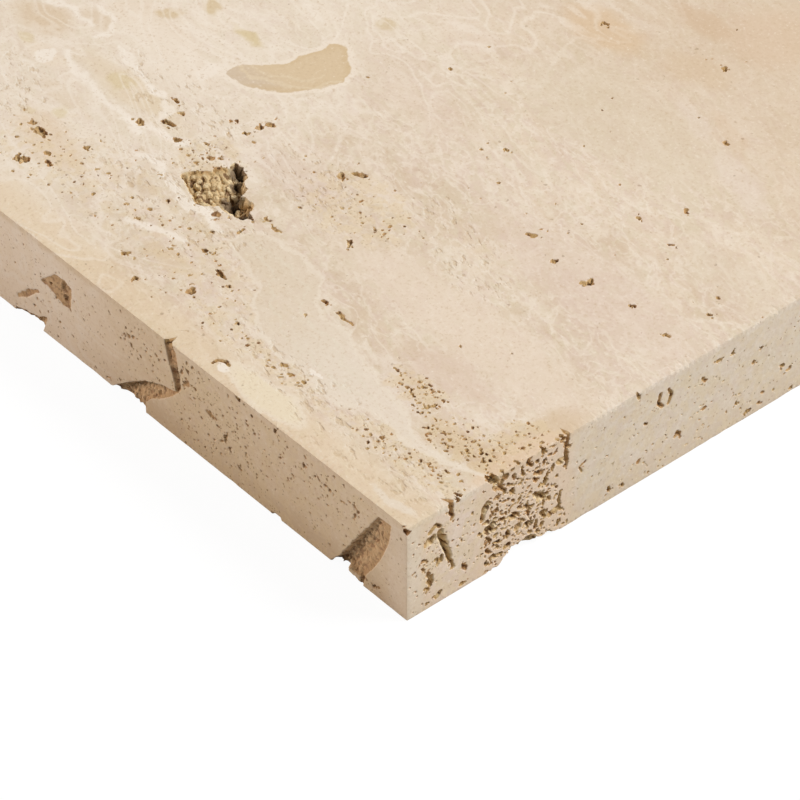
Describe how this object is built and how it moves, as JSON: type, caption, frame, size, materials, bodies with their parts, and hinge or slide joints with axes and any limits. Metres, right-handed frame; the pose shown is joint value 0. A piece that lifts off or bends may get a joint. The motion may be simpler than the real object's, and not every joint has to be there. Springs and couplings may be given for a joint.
{
  "type": "travertine tile",
  "caption": "Square floor or wall tile sawn from unfilled travertine, with a honed top face, open natural voids and pits, and eased, slightly worn arrises.",
  "frame": {"origin": "centre of the tile's underside", "axes": "+Z is the honed top face's outward normal, X runs along the stone's bedding, Y across it; the pictured near corner is at +X and -Y"},
  "size_m": [0.305, 0.305, 0.03],
  "materials": {
    "travertine": "honed on top, sawn on the other faces"
  },
  "bodies": {
    "root": {"travertine_tile": "travertine"}
  },
  "joints": []
}
